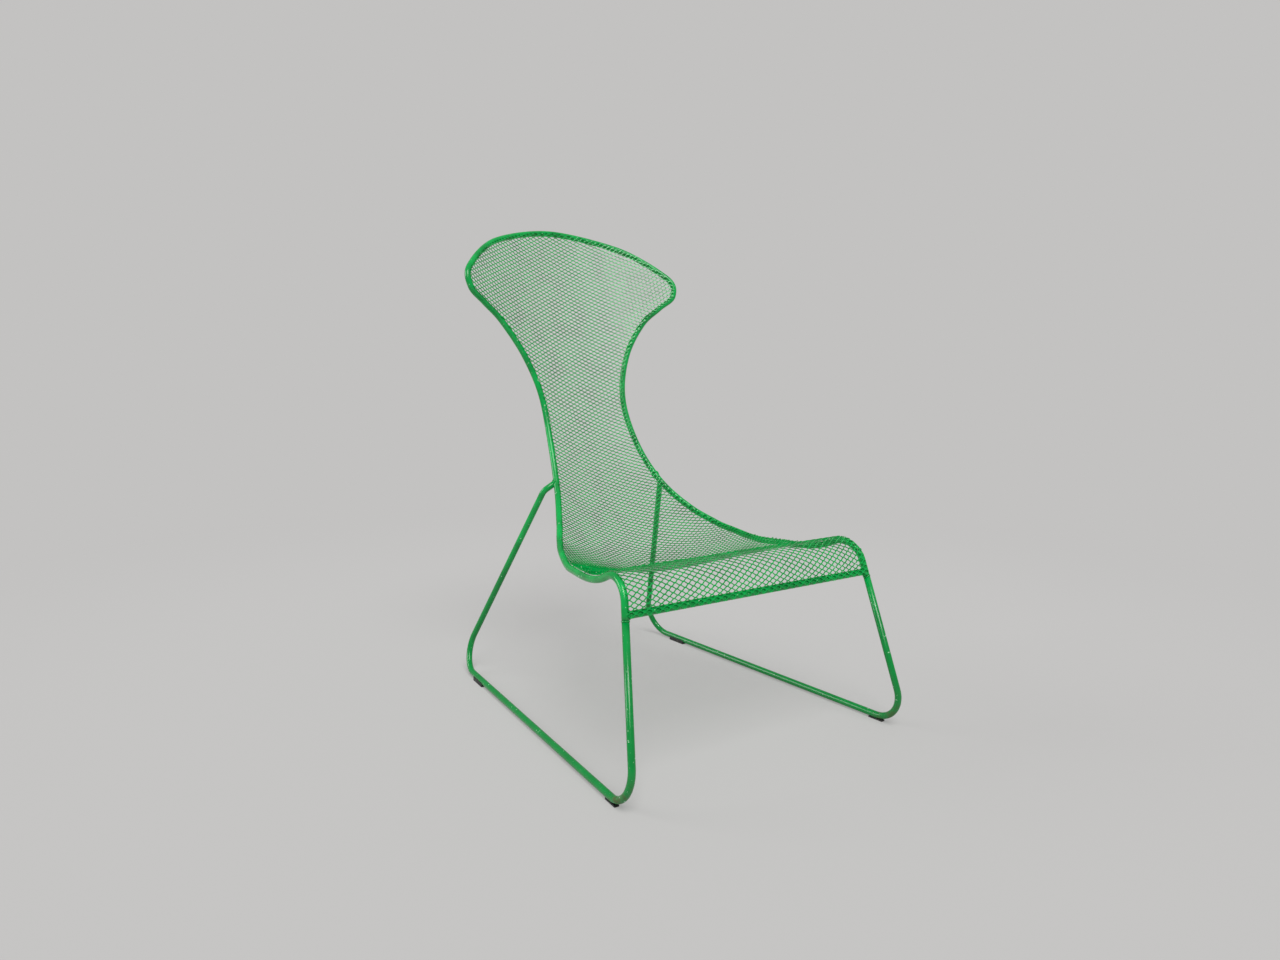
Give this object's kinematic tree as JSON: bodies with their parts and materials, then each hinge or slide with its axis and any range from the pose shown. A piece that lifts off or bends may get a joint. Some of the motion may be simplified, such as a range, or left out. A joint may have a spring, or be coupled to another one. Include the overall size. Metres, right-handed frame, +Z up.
{
  "type": "garden easy chair",
  "caption": "Green bent-tube garden easy chair with a dished expanded-metal seat and fan back on two sled legs with black rubber shoes.",
  "frame": {"origin": "on the floor, under the middle of the chair's outer box", "axes": "+Z up, -Y the way the sitter looks, +X the sitter's left"},
  "size_m": [0.6256, 0.8188, 0.9676],
  "materials": {
    "green_enamel": "gloss green enamel on steel",
    "bare_steel": "mill finish, hidden inside the joint",
    "black_rubber": "matt moulded rubber"
  },
  "bodies": {
    "root": {"shell_tube": "green_enamel", "front_rail": "green_enamel", "mesh_panel": "green_enamel", "left_leg": "green_enamel", "right_leg": "green_enamel", "left_joint_sleeve": "bare_steel", "right_joint_sleeve": "bare_steel", "left_joint_weld": "green_enamel", "right_joint_weld": "green_enamel", "left_rail_weld": "green_enamel", "right_rail_weld": "green_enamel", "left_rear_weld": "green_enamel", "right_rear_weld": "green_enamel", "left_front_glide": "black_rubber", "right_front_glide": "black_rubber", "left_rear_glide": "black_rubber", "right_rear_glide": "black_rubber"}
  },
  "joints": []
}
